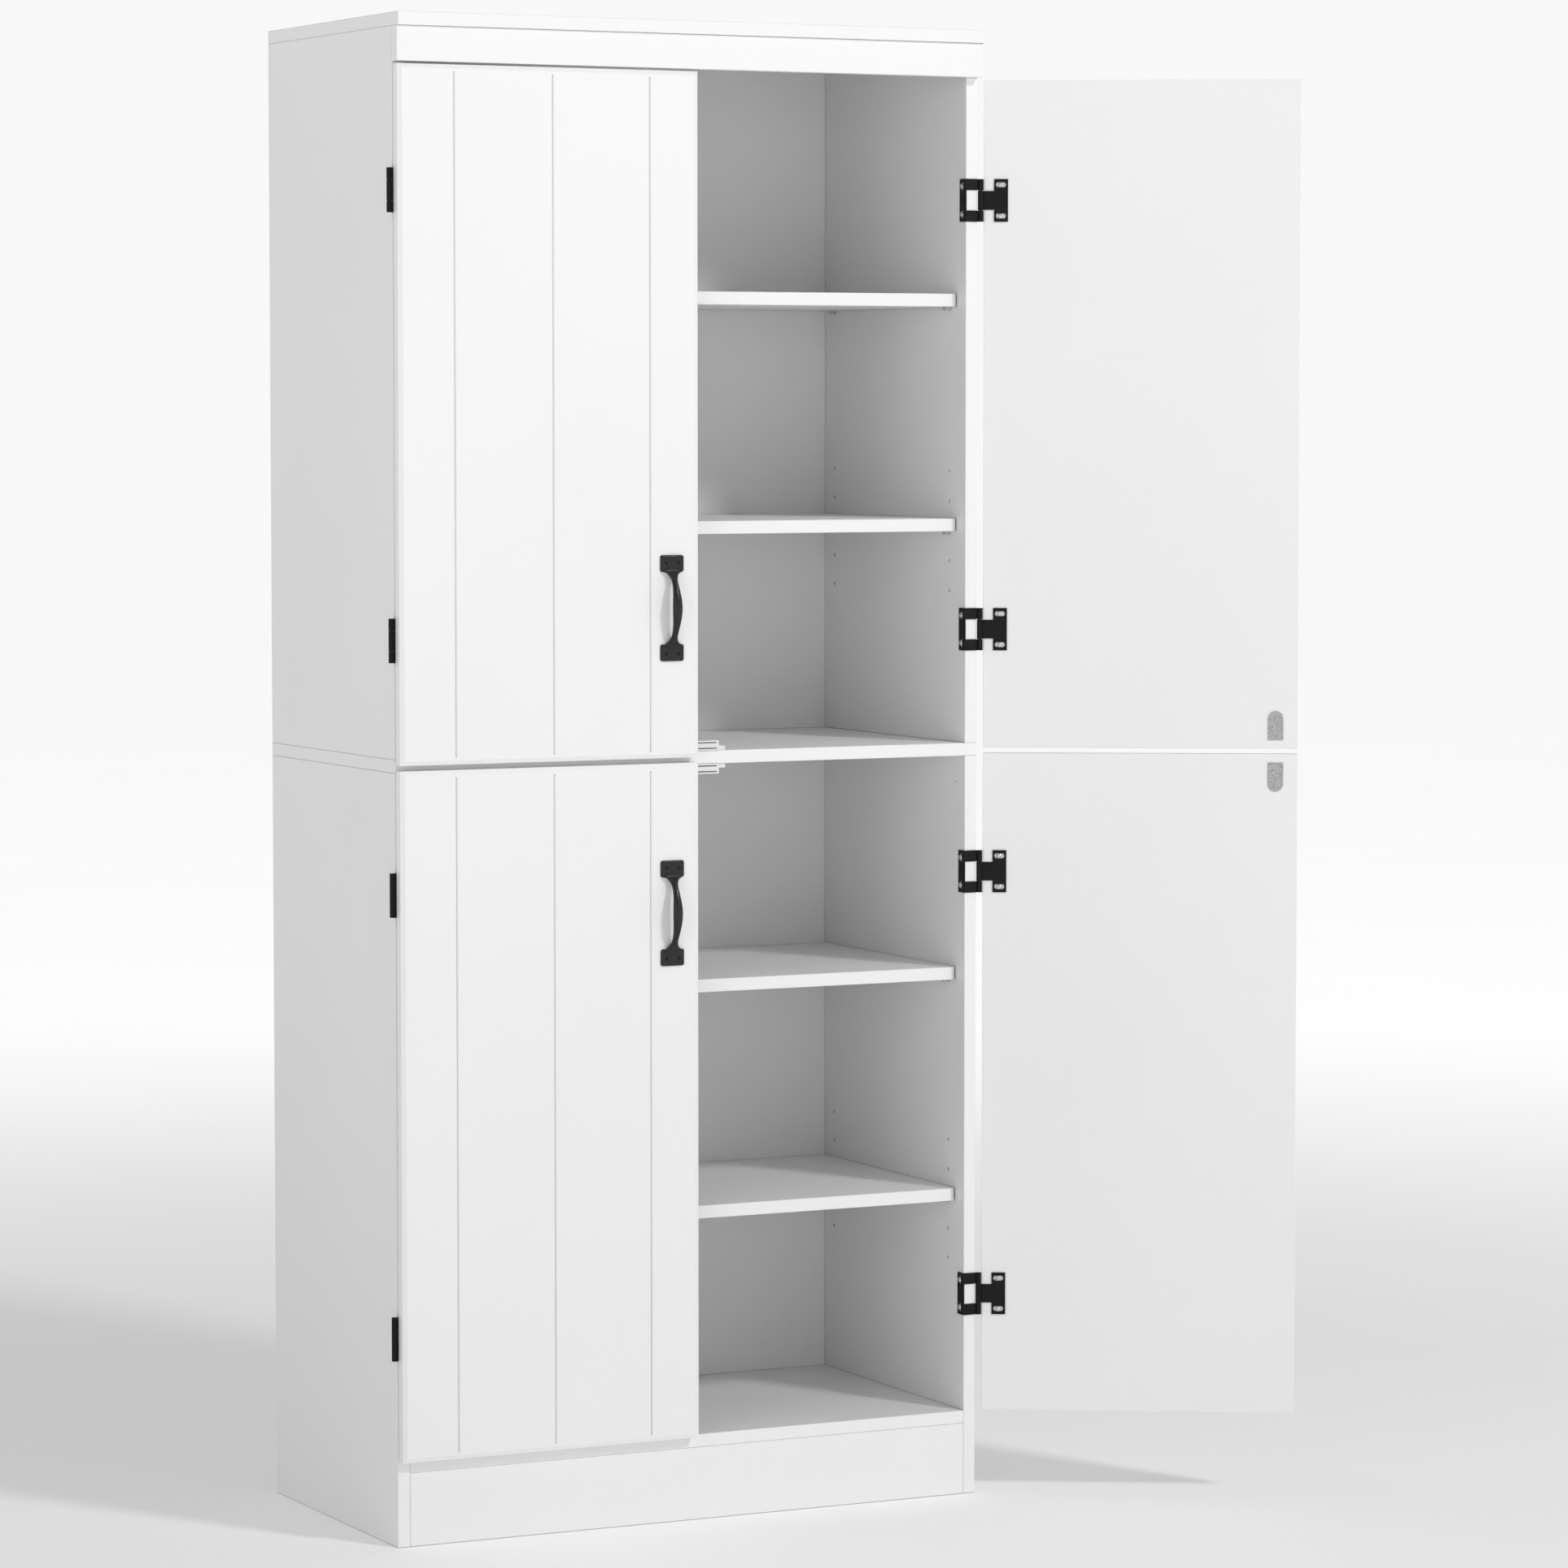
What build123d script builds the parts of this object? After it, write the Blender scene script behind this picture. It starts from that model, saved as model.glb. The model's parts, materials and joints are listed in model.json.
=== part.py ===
from build123d import *
import os

# Tall four-door pantry cabinet in white laminated board, with black hinges and pulls.
# Millimetres, +Z up, front faces -Y. The origin is the middle of the footprint on the floor.
# Two stacked carcasses share one middle panel. The left doors stand closed and the right doors open.

os.makedirs("parts", exist_ok=True)

# ---- carcass ----
cabinet_width = 790.0
cabinet_depth = 398.0
cabinet_height = 1840.0
board = 16.0
edge_break = 0.6  # chamfer on every board edge
kick_height = 90.0
middle_underside = 936.0
top_overhang = 20.0  # top panel beyond the sides' front edges
fascia_height = 42.0
back_thickness = 3.0
back_inset = 386.0  # sides' front edges to the back panels' inner face
groove_depth = 5.0
groove_play = 0.1

# ---- shelves and their pins ----
shelf_spacing = 265.0  # clear height of the four lower bays
shelf_side_gap = 1.0
shelf_recess = 19.5
shelf_back_gap = 1.5
shelf_corner = 7.0
shelf_rest_gap = 0.05
shelf_pin_radius = 2.5
shelf_pin_depth = 9.5
shelf_pin_reach = 8.0
shelf_pin_flat_radius = 4.5
pin_hole_pitch = 37.6
pin_columns = (42.5, 359.0)  # behind the sides' front edges

# ---- doors ----
door_width = 394.5
door_height = 833.5
lower_door_bottom = 105.3
upper_door_bottom = 945.5
door_gap = 3.0  # door's inner face to the sides' front edges
bevel_width = 5.2
bevel_depth = 3.2
first_groove = 72.0  # from the hinge edge
groove_pitch = 128.6
plank_groove_width = 3.0
plank_groove_depth = 2.0
plank_groove_stop = 8.5  # from the door's ends
open_angle = 150.0

# ---- hinges ----
hinge_height = 53.0
hinge_inset = 149.0  # hinge centre to the door's end
knuckle_offset = 4.0  # hinge axis outside the side panel
knuckle_radius = 3.7
pin_radius = 2.0
pin_fit = 0.02
pin_play = 0.05
leaf_thickness = 1.3
frame_window = 25.4
strip_depth = 14.7
neck_height = 23.4
neck_reach = 12.7  # from the door's hinge edge
leaf_reach = 29.9
strip_slot_spacing = 34.8
strip_slot = (5.2, 11.2)
strip_slot_set = 8.2  # slot centre behind the side's front edge
leaf_slot_spacing = 38.8
leaf_slot = (12.6, 6.6)
leaf_slot_set = 21.2  # slot centre from the door's hinge edge
knuckle_gap = 0.4

# ---- pulls ----
pull_length = 129.0
pull_inset = 183.0  # pull's middle to the door's end at the middle panel
pull_from_edge = 37.0
pull_plate = (30.8, 20.4)
pull_plate_thickness = 3.0
pull_plate_corner = 2.5
pull_stand_out = 22.0  # front of the bar to the door's face
pull_finger_room = 13.0  # back of the bar to the door's face
pull_foot = (41.0, 50.0)  # where the bow's inner and outer arcs meet the door's face
pull_bar_half = (3.5, 6.0)  # half width at the necks and at the middle
pull_neck = 32.0
pull_flare_half = 14.5
pull_flare_bend = (3.0, 8.3)  # middle point of the flare's curve, from its neck
pull_screw_spacing = 17.0
pull_screw_set = 9.0

# ---- magnetic catches and their strike plates ----
strike_size = (18.8, 36.0)
strike_thickness = 1.2
strike_from_edge = 27.7
strike_from_end = 10.9
catch_half_width = 35.0
catch_height = 12.4
catch_depth = 20.0
catch_stand_out = 1.0  # in front of the sides' front edges
ear_half_width = 45.5
ear_height = 5.5
ear_depth = 12.0
pole_reach = (2.0, 32.0)
pole_heights = (2.8, 9.8)
pole_thickness = 1.2
pole_depth = 15.0
pole_stand_out = 0.4
pole_play = 0.1
magnet_length = 26.0
magnet_depth = 11.0
magnet_front = 3.0

# ---- knock-down fittings ----
cam_radius = 7.5
cam_depth = 12.5
cam_reach = 34.0  # joint to the cam's centre
cam_play = 0.1
cap_thickness = 1.0
cap_hole_radius = 1.25
cam_bolt_radius = 2.5
cam_bolt_head_radius = 3.5
cam_bolt_head = 2.5
cam_bolt_thread = 10.0
bolt_bore_radius = 3.8
cam_inset = 25.0  # cams behind the front edges and ahead of the back edges
dowel_radius = 4.0
dowel_in_face = 11.0
dowel_in_edge = 19.0
long_screw_radius = 2.5
long_screw_length = 45.0
long_screw_head_radius = 4.5

# ---- small screws: shank radius, length under the head, head radius, head height ----
hinge_screw = (1.5, 12.0, 3.5, 1.8)
pull_screw = (1.25, 12.0, 2.4, 1.0)
catch_screw = (1.5, 12.5, 3.0, 1.5)
recess_width = 0.9
recess_share = 0.62  # recess length over the head's width
recess_depth = 0.8

# ---- places worked out from the sizes above ----
half_width = cabinet_width / 2
inner_half = half_width - board
front = -cabinet_depth / 2
back = cabinet_depth / 2
bottom_top = kick_height + board
middle_top = middle_underside + board
top_underside = cabinet_height - board
side_middle = half_width - board / 2
back_face = front + back_inset
axis_x = half_width + knuckle_offset
axis_y = front - door_gap / 2
door_face = -door_gap / 2 - board  # in a door's own frame
door_inner = -door_gap / 2
free_edge = knuckle_offset + door_width
hands = (("left", -1), ("right", 1))
tiers = (("lower", lower_door_bottom, 1), ("upper", upper_door_bottom, -1))

shelf_floors = {
    "lower": (bottom_top + shelf_spacing, bottom_top + 2 * shelf_spacing + board),
    "upper": (middle_top + shelf_spacing, middle_top + 2 * shelf_spacing + board),
}


rising = (Align.CENTER, Align.CENTER, Align.MIN)  # stands on its plane
sinking = (Align.CENTER, Align.CENTER, Align.MAX)  # hangs under its plane


def finish(builder, name):
    """Label one finished piece and write it under its node's name."""
    builder.part.label = name
    export_step(builder.part, f"parts/{name}.step")


def board_box(low, high):
    """A laminated board between two corners, with its edges broken."""
    size = [b - a for a, b in zip(low, high)]
    with Locations(tuple(low)):
        blank = Box(*size, align=(Align.MIN, Align.MIN, Align.MIN))
    chamfer(blank.edges(), edge_break)


def bore(planes, radius, depth):
    """Blind bores that start at each plane and run along its normal."""
    with Locations(*planes):
        Cylinder(radius, depth, align=rising, mode=Mode.SUBTRACT)


def slot_cut(planes, length, width, depth):
    """Slots with round ends along each plane's x, cut back from the plane."""
    flat = length - width
    with Locations(*planes):
        Box(flat, width, depth, align=sinking, mode=Mode.SUBTRACT)
        with Locations((-flat / 2, 0, 0), (flat / 2, 0, 0)):
            Cylinder(width / 2, depth, align=sinking, mode=Mode.SUBTRACT)


def flipped(planes):
    """The same places, facing the other way."""
    return [Plane(origin=plane.origin, x_dir=plane.x_dir, z_dir=-plane.z_dir) for plane in planes]


def screws(planes, size):
    """Pan-head screws with a cross recess. A plane's normal points out of the head."""
    shank_radius, length, head_radius, head_height = size
    with Locations(*planes):
        Cylinder(shank_radius, length, align=sinking)
        Cylinder(head_radius, head_height, align=rising)
        with Locations((0, 0, head_height)):
            slot_length = 2 * head_radius * recess_share
            Box(slot_length, recess_width, recess_depth, align=sinking, mode=Mode.SUBTRACT)
            Box(recess_width, slot_length, recess_depth, align=sinking, mode=Mode.SUBTRACT)


def pilot_holes(planes, size):
    """Bores for the shanks of screws whose heads sit on these planes."""
    shank_radius, length = size[:2]
    bore(flipped(planes), shank_radius, length)


# ---- where the fittings go: a plane's normal is the way a bolt or dowel enters the board's edge ----
cam_rows = (front + cam_inset, back - cam_inset)


def edge_plane(x, y, z, normal, face):
    """A joint's plane. x_dir points at the board face where the cam is let in."""
    return Plane(origin=(x, y, z), x_dir=face, z_dir=normal)


down = (0, 0, -1)
lower_side_joints = {}
upper_side_joints = {}
bottom_joints = {}
kick_joints = {}
fascia_joints = {}
for hand, sign in hands:
    inward = (-sign, 0, 0)
    middle = sign * side_middle
    lower_side_joints[hand] = [edge_plane(middle, y, middle_underside, down, inward) for y in cam_rows]
    upper_side_joints[hand] = [edge_plane(middle, y, top_underside, down, inward) for y in cam_rows]
    under = kick_height + board / 2
    bottom_joints[hand] = [edge_plane(sign * inner_half, y, under, inward, down) for y in cam_rows]
    kick_middle = front + board / 2
    kick_joints[hand] = [edge_plane(sign * inner_half, kick_middle, kick_height / 2, inward, (0, 1, 0))]
    fascia_place = (sign * (inner_half - 4 * cam_inset), front - board / 2, top_underside)
    fascia_joints[hand] = [edge_plane(*fascia_place, down, (0, 1, 0))]

cam_joints = []
for group in (lower_side_joints, upper_side_joints, bottom_joints, kick_joints, fascia_joints):
    for planes in group.values():
        cam_joints += planes


def cam_centre(joint):
    """The plane on the board's face over a cam, with its normal out of the board."""
    origin = joint.origin + joint.z_dir * cam_reach + joint.x_dir * (board / 2)
    return Plane(origin=origin, x_dir=joint.z_dir, z_dir=joint.x_dir)


def cut_cam_seats(joints):
    """The cam pockets and bolt bores in the board that holds the cams."""
    bore(flipped([cam_centre(joint) for joint in joints]), cam_radius, cam_depth)
    bore(joints, bolt_bore_radius, cam_reach)


def cut_bolt_threads(joints):
    """The pilot holes in the board that holds the bolts."""
    bore(flipped(joints), cam_bolt_radius, cam_bolt_thread)


# ---- dowels ----
dowel_rows = (front + 3 * cam_inset, back - 3 * cam_inset)
rail_middle = back_face - board / 2
along = (1, 0, 0)
plinth_tops = [(0, y) for y in dowel_rows]
fascia_dowels = []
top_dowels = []
middle_dowels = []
end_dowels = []
for hand, sign in hands:
    plinth_tops += [(sign * half_width / 2, front + board / 2), (sign * half_width / 2, rail_middle)]
    fascia_dowels.append(edge_plane(sign * half_width / 3, front - board / 2, top_underside, down, along))
    top_dowels += [edge_plane(sign * side_middle, y, top_underside, down, along) for y in dowel_rows]
    middle_dowels += [edge_plane(sign * side_middle, y, middle_underside, down, along) for y in dowel_rows]
    inward = (-sign, 0, 0)
    end_dowels.append(edge_plane(sign * inner_half, 0, kick_height + board / 2, inward, (0, 1, 0)))
plinth_dowels = [edge_plane(x, y, kick_height, down, along) for x, y in plinth_tops]
all_dowels = plinth_dowels + fascia_dowels + top_dowels + middle_dowels + end_dowels


def cut_dowels_in_edge(planes):
    bore(planes, dowel_radius, dowel_in_edge)


def cut_dowels_in_face(planes):
    bore(flipped(planes), dowel_radius, dowel_in_face)


def on_side(planes, sign):
    """The planes on the cabinet's right (sign 1) or left (sign -1)."""
    return [plane for plane in planes if plane.origin.X * sign > 0]


# ---- long screws up through the middle panel, pin holes, hinge screws ----
long_screw_rows = (front + 2 * cam_inset, back - 2 * cam_inset)
long_screw_planes = []
for hand, sign in hands:
    middle = sign * side_middle
    long_screw_planes += [edge_plane(middle, y, middle_underside, down, along) for y in long_screw_rows]


def pin_hole_heights(tier):
    """Five holes around the first shelf's height and one for the second."""
    first, second = shelf_floors[tier]
    return [first + step * pin_hole_pitch for step in (-2, -1, 0, 1, 2)] + [second]


def inner_face_plane(sign, depth_in, z):
    """On a side panel's inner face, with the normal into the board."""
    return Plane(origin=(sign * inner_half, front + depth_in, z), x_dir=(0, 1, 0), z_dir=(sign, 0, 0))


def door_middle(tier_bottom):
    return tier_bottom + door_height / 2


hinge_reach = door_height / 2 - hinge_inset  # hinge centres from the door's middle


def hinge_planes(sign, tier_bottom):
    """Hinge frames on the carcass: x towards the cabinet's middle, y to the back."""
    planes = []
    for step in (-1, 1):
        origin = (sign * axis_x, axis_y, door_middle(tier_bottom) + step * hinge_reach)
        planes.append(Plane(origin=origin, x_dir=(-sign, 0, 0), z_dir=(0, 0, -sign)))
    return planes


def strip_screw_planes(sign, tier_bottom):
    """Heads of the screws that hold the frame leaves, normals into the cabinet."""
    planes = []
    for step in (-1, 1):
        for slot_step in (-0.5, 0.5):
            height = door_middle(tier_bottom) + step * hinge_reach + slot_step * strip_slot_spacing
            origin = (sign * (inner_half - leaf_thickness), front + strip_slot_set, height)
            planes.append(Plane(origin=origin, x_dir=(0, 1, 0), z_dir=(-sign, 0, 0)))
    return planes


catch_levels = (("upper", middle_top, 1), ("lower", middle_underside, -1))
catch_screw_x = (catch_half_width + ear_half_width) / 2
catch_screw_y = front - catch_stand_out + catch_depth / 2
catch_screw_planes = []
for tier, level, up in catch_levels:
    for side in (-1, 1):
        origin = (side * catch_screw_x, catch_screw_y, level + up * ear_height)
        catch_screw_planes.append(Plane(origin=origin, z_dir=(0, 0, up)))

# ---- side panels ----
side_spans = {"lower": (0.0, middle_underside), "upper": (middle_top, top_underside)}
groove_middle = back_face + back_thickness / 2
groove_width = back_thickness + 2 * groove_play
for tier, tier_bottom, end in tiers:
    for hand, sign in hands:
        low_z, high_z = side_spans[tier]
        outer, inner = sorted((sign * half_width, sign * inner_half))
        with BuildPart() as side:
            board_box((outer, front, low_z), (inner, back, high_z))
            with Locations((sign * inner_half, groove_middle, (low_z + high_z) / 2)):
                Box(2 * groove_depth, groove_width, high_z - low_z, mode=Mode.SUBTRACT)
            holes = [inner_face_plane(sign, y, z) for y in pin_columns for z in pin_hole_heights(tier)]
            bore(holes, shelf_pin_radius, shelf_pin_depth)
            pilot_holes(strip_screw_planes(sign, tier_bottom), hinge_screw)
            if tier == "lower":
                cut_cam_seats(lower_side_joints[hand])
                cut_bolt_threads(bottom_joints[hand] + kick_joints[hand])
                cut_dowels_in_edge(on_side(middle_dowels, sign))
                cut_dowels_in_face(on_side(end_dowels, sign))
            else:
                cut_cam_seats(upper_side_joints[hand])
                cut_dowels_in_edge(on_side(top_dowels, sign))
                bore(flipped(on_side(long_screw_planes, sign)), long_screw_radius, long_screw_length)
        finish(side, f"{tier}_side_{hand}")

# ---- horizontal boards ----
with BuildPart() as top_panel:
    board_box((-half_width, front - top_overhang, top_underside), (half_width, back, cabinet_height))
    with Locations((0, groove_middle, top_underside)):
        Box(2 * (inner_half + groove_depth), groove_width, 2 * groove_depth, mode=Mode.SUBTRACT)
    for hand, sign in hands:
        cut_bolt_threads(upper_side_joints[hand] + fascia_joints[hand])
    cut_dowels_in_face(top_dowels + fascia_dowels)
finish(top_panel, "top_panel")

with BuildPart() as middle_panel:
    board_box((-half_width, front, middle_underside), (half_width, back, middle_top))
    with Locations((0, groove_middle, middle_underside), (0, groove_middle, middle_top)):
        Box(2 * (inner_half + groove_depth), groove_width, 2 * groove_depth, mode=Mode.SUBTRACT)
    for hand, sign in hands:
        cut_bolt_threads(lower_side_joints[hand])
    bore(flipped(long_screw_planes), long_screw_radius, board)
    with Locations(*flipped(long_screw_planes)):
        Cone(
            long_screw_head_radius,
            long_screw_radius,
            long_screw_head_radius - long_screw_radius,
            align=rising,
            mode=Mode.SUBTRACT,
        )
    cut_dowels_in_face(middle_dowels)
    pilot_holes(catch_screw_planes, catch_screw)
finish(middle_panel, "middle_panel")

with BuildPart() as bottom_panel:
    board_box((-inner_half, front, kick_height), (inner_half, back, bottom_top))
    with Locations((0, groove_middle, bottom_top)):
        Box(cabinet_width, groove_width, 2 * groove_depth, mode=Mode.SUBTRACT)
    for hand, sign in hands:
        cut_cam_seats(bottom_joints[hand])
    cut_dowels_in_edge(end_dowels)
    cut_dowels_in_face(plinth_dowels)
finish(bottom_panel, "bottom_panel")

# ---- plinth and fascia ----
with BuildPart() as kick_board:
    board_box((-inner_half, front, 0), (inner_half, front + board, kick_height))
    for hand, sign in hands:
        cut_cam_seats(kick_joints[hand])
    cut_dowels_in_edge([plane for plane in plinth_dowels if plane.origin.Y < front + board])
finish(kick_board, "kick_board")

with BuildPart() as rear_rail:
    board_box((-inner_half, back_face - board, 0), (inner_half, back_face, kick_height))
    cut_dowels_in_edge([plane for plane in plinth_dowels if plane.origin.Y > back_face - board])
finish(rear_rail, "rear_rail")

with BuildPart() as centre_brace:
    board_box((-board / 2, front + board, 0), (board / 2, back_face - board, kick_height))
    cut_dowels_in_edge([plane for plane in plinth_dowels if abs(plane.origin.X) < board])
finish(centre_brace, "centre_brace")

with BuildPart() as fascia_board:
    fascia_bottom = top_underside - fascia_height
    board_box((-half_width, front - board, fascia_bottom), (half_width, front, top_underside))
    for hand, sign in hands:
        cut_cam_seats(fascia_joints[hand])
    cut_dowels_in_edge(fascia_dowels)
finish(fascia_board, "fascia_board")

# ---- back panels ----
back_spans = {
    "lower": (bottom_top - groove_depth, middle_underside + groove_depth),
    "upper": (middle_top - groove_depth, top_underside + groove_depth),
}
for tier, (low_z, high_z) in back_spans.items():
    back_half = inner_half + groove_depth - groove_play
    with BuildPart() as back_panel:
        with Locations((0, groove_middle, (low_z + high_z) / 2)):
            Box(2 * back_half, back_thickness, high_z - low_z - 2 * groove_play)
    finish(back_panel, f"{tier}_back_panel")

# ---- shelves ----
for tier, floors in shelf_floors.items():
    for place, floor in zip(("low", "high"), floors):
        half_shelf = inner_half - shelf_side_gap
        shelf_front = front + shelf_recess
        shelf_back = back_face - shelf_back_gap
        with BuildPart() as shelf:
            with Locations((0, (shelf_front + shelf_back) / 2, floor + shelf_rest_gap)):
                Box(2 * half_shelf, shelf_back - shelf_front, board, align=rising)
            uprights = shelf.edges().filter_by(Axis.Z).group_by(Axis.Y)[0]
            fillet(uprights, shelf_corner)
            level_edges = shelf.edges().filter_by(Axis.Z, reverse=True)
            chamfer(level_edges, edge_break)
        finish(shelf, f"{tier}_{place}_shelf")

# ---- shelf pins: a peg in the side and a half-round foot under the shelf ----
with BuildPart() as shelf_pins:
    for hand, sign in hands:
        for floors in shelf_floors.values():
            pin_planes = [inner_face_plane(sign, y, z) for y in pin_columns for z in floors]
            with Locations(*pin_planes):
                Cylinder(shelf_pin_radius, shelf_pin_depth, align=rising)
            with Locations(*flipped(pin_planes)):
                Cylinder(shelf_pin_flat_radius, shelf_pin_reach, align=rising)
    for floors in shelf_floors.values():
        for floor in floors:
            with Locations((0, 0, floor)):
                Box(2 * inner_half, cabinet_depth, board, align=rising, mode=Mode.SUBTRACT)
finish(shelf_pins, "shelf_pins")

# ---- cams, caps, bolts, dowels and long screws ----
cam_height = cam_depth - cap_thickness
with BuildPart() as cam_locks:
    for joint in cam_joints:
        seat = cam_centre(joint)
        cam_top = seat.offset(-cap_thickness)
        with Locations(cam_top):
            Cylinder(cam_radius - cam_play, cam_height, align=sinking)
            Box(recess_width, cam_radius, recess_depth, align=sinking, mode=Mode.SUBTRACT)
    bolt_entries = [joint.offset(cam_reach - cam_radius) for joint in cam_joints]
    bore(bolt_entries, bolt_bore_radius, cam_radius + 2 * cam_bolt_head)
finish(cam_locks, "cam_locks")

with BuildPart() as cam_caps:
    with Locations(*[cam_centre(joint) for joint in cam_joints]):
        Cylinder(cam_radius - cam_play / 2, cap_thickness, align=sinking)
        Cylinder(cap_hole_radius, cap_thickness, align=sinking, mode=Mode.SUBTRACT)
finish(cam_caps, "cam_caps")

with BuildPart() as cam_bolts:
    with Locations(*cam_joints):
        with Locations((0, 0, -cam_bolt_thread)):
            Cylinder(cam_bolt_radius, cam_bolt_thread + cam_reach, align=rising)
        with Locations((0, 0, cam_reach)):
            Cylinder(cam_bolt_head_radius, cam_bolt_head, align=rising)
finish(cam_bolts, "cam_bolts")

with BuildPart() as dowels:
    with Locations(*[plane.offset(-dowel_in_face) for plane in all_dowels]):
        Cylinder(dowel_radius, dowel_in_face + dowel_in_edge, align=rising)
finish(dowels, "dowels")

with BuildPart() as middle_panel_screws:
    with Locations(*flipped(long_screw_planes)):
        Cylinder(long_screw_radius, long_screw_length, align=rising)
        Cone(
            long_screw_head_radius,
            long_screw_radius,
            long_screw_head_radius - long_screw_radius,
            align=rising,
        )
finish(middle_panel_screws, "middle_panel_screws")

# ---- magnetic catches, one on top of the middle panel and one under it ----
pole_middle = sum(pole_reach) / 2
pole_length = pole_reach[1] - pole_reach[0]
catch_front = front - catch_stand_out


def catch_plane(level, up):
    """x to the cabinet's right, z away from the middle panel, on the catch's front."""
    return Plane(origin=(0, catch_front, level), x_dir=(up, 0, 0), z_dir=(0, 0, up))


for tier, level, up in catch_levels:
    with BuildPart(catch_plane(level, up)) as catch_housing:
        base = (Align.CENTER, Align.MIN, Align.MIN)
        Box(2 * catch_half_width, catch_depth, catch_height, align=base)
        with Locations((0, (catch_depth - ear_depth) / 2, 0)):
            Box(2 * ear_half_width, ear_depth, ear_height, align=base)
        for side in (-1, 1):
            with Locations(*[(side * pole_middle, 0, z) for z in pole_heights]):
                Box(
                    pole_length + 2 * pole_play,
                    pole_depth + pole_play,
                    pole_thickness + 2 * pole_play,
                    align=(Align.CENTER, Align.MIN, Align.CENTER),
                    mode=Mode.SUBTRACT,
                )
            with Locations((side * pole_middle, magnet_front, sum(pole_heights) / 2)):
                Box(
                    magnet_length + 2 * pole_play,
                    catch_depth,
                    pole_heights[1] - pole_heights[0],
                    align=(Align.CENTER, Align.MIN, Align.CENTER),
                    mode=Mode.SUBTRACT,
                )
            with Locations((side * catch_screw_x, catch_depth / 2, 0)):
                Cylinder(catch_screw[0] + pole_play, ear_height, align=rising, mode=Mode.SUBTRACT)
    finish(catch_housing, f"{tier}_catch_housing")

catch_planes = [catch_plane(level, up) for tier, level, up in catch_levels]
with BuildPart(*catch_planes) as catch_poles:
    for side in (-1, 1):
        with Locations(*[(side * pole_middle, -pole_stand_out, z) for z in pole_heights]):
            Box(
                pole_length,
                pole_depth + pole_stand_out - pole_play,
                pole_thickness,
                align=(Align.CENTER, Align.MIN, Align.CENTER),
            )
finish(catch_poles, "catch_poles")

with BuildPart(*catch_planes) as catch_magnets:
    for side in (-1, 1):
        with Locations((side * pole_middle, magnet_front + pole_play, sum(pole_heights) / 2)):
            Box(
                magnet_length,
                magnet_depth,
                pole_heights[1] - pole_heights[0] - pole_thickness,
                align=(Align.CENTER, Align.MIN, Align.CENTER),
            )
finish(catch_magnets, "catch_magnets")

with BuildPart() as catch_screws:
    screws(catch_screw_planes, catch_screw)
finish(catch_screws, "catch_screws")

# ---- hinge frame leaves, one node of two leaves for each door ----
half_hinge = hinge_height / 2
half_window = frame_window / 2
frame_leaf_face = door_gap / 2 - leaf_thickness  # y of the leaf's outer surface
frame_end = knuckle_offset + board
for tier, tier_bottom, end in tiers:
    for hand, sign in hands:
        with BuildPart(*hinge_planes(sign, tier_bottom)) as frame_leaves:
            arm_height = half_hinge - half_window
            arm_middle = (half_hinge + half_window) / 2
            for level in (-arm_middle, arm_middle):
                with Locations((0, frame_leaf_face, level)):
                    Box(
                        frame_end + leaf_thickness,
                        leaf_thickness,
                        arm_height,
                        align=(Align.MIN, Align.MIN, Align.CENTER),
                    )
                with Locations((0, 0, level)):
                    Cylinder(knuckle_radius, arm_height)
            with Locations((frame_end, frame_leaf_face, 0)):
                Box(
                    leaf_thickness,
                    leaf_thickness + strip_depth,
                    hinge_height,
                    align=(Align.MIN, Align.MIN, Align.CENTER),
                )
            slot_width, slot_length = strip_slot
            slot_x = frame_end + leaf_thickness
            slot_y = door_gap / 2 + strip_slot_set
            slots = [
                Plane(origin=(slot_x, slot_y, level), x_dir=(0, 0, 1), z_dir=(1, 0, 0))
                for level in (-strip_slot_spacing / 2, strip_slot_spacing / 2)
            ]
            slot_cut(slots, slot_length, slot_width, leaf_thickness)
            Cylinder(pin_radius + pin_fit, hinge_height, mode=Mode.SUBTRACT)
        finish(frame_leaves, f"{tier}_{hand}_frame_leaves")

all_hinge_planes = []
for tier, tier_bottom, end in tiers:
    for hand, sign in hands:
        all_hinge_planes += hinge_planes(sign, tier_bottom)
with BuildPart(*all_hinge_planes) as hinge_pins:
    Cylinder(pin_radius, hinge_height)
finish(hinge_pins, "hinge_pins")

with BuildPart() as frame_leaf_screws:
    for tier, tier_bottom, end in tiers:
        for hand, sign in hands:
            screws(strip_screw_planes(sign, tier_bottom), hinge_screw)
finish(frame_leaf_screws, "frame_leaf_screws")


# ---- doors: each is drawn in its own frame, on its hinge axis at mid height ----
def door_plane(hand, sign, tier_bottom):
    """x from the hinge axis to the free edge, y into the cabinet when closed."""
    closed = Plane(
        origin=(sign * axis_x, axis_y, door_middle(tier_bottom)),
        x_dir=(-sign, 0, 0),
        z_dir=(0, 0, -sign),
    )
    swing = open_angle if hand == "right" else 0.0
    return closed.rotated((0, 0, sign * swing))  # the turn is about the cabinet's +Z


def within(frame, place):
    """A plane given in a door's own frame, set in the cabinet's frame."""
    return Plane(frame.location * place.location)


hinge_levels = (-hinge_reach, hinge_reach)
pull_x = free_edge - pull_from_edge
pull_half = pull_length / 2
pull_plate_end = pull_half - pull_plate[1]
leaf_face = door_inner + leaf_thickness

# ---- screw places in a door's own frame ----
leaf_slot_planes = []
for level in hinge_levels:
    for step in (-0.5, 0.5):
        origin = (knuckle_offset + leaf_slot_set, leaf_face, level + step * leaf_slot_spacing)
        leaf_slot_planes.append(Plane(origin=origin, x_dir=(1, 0, 0), z_dir=(0, 1, 0)))


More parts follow.
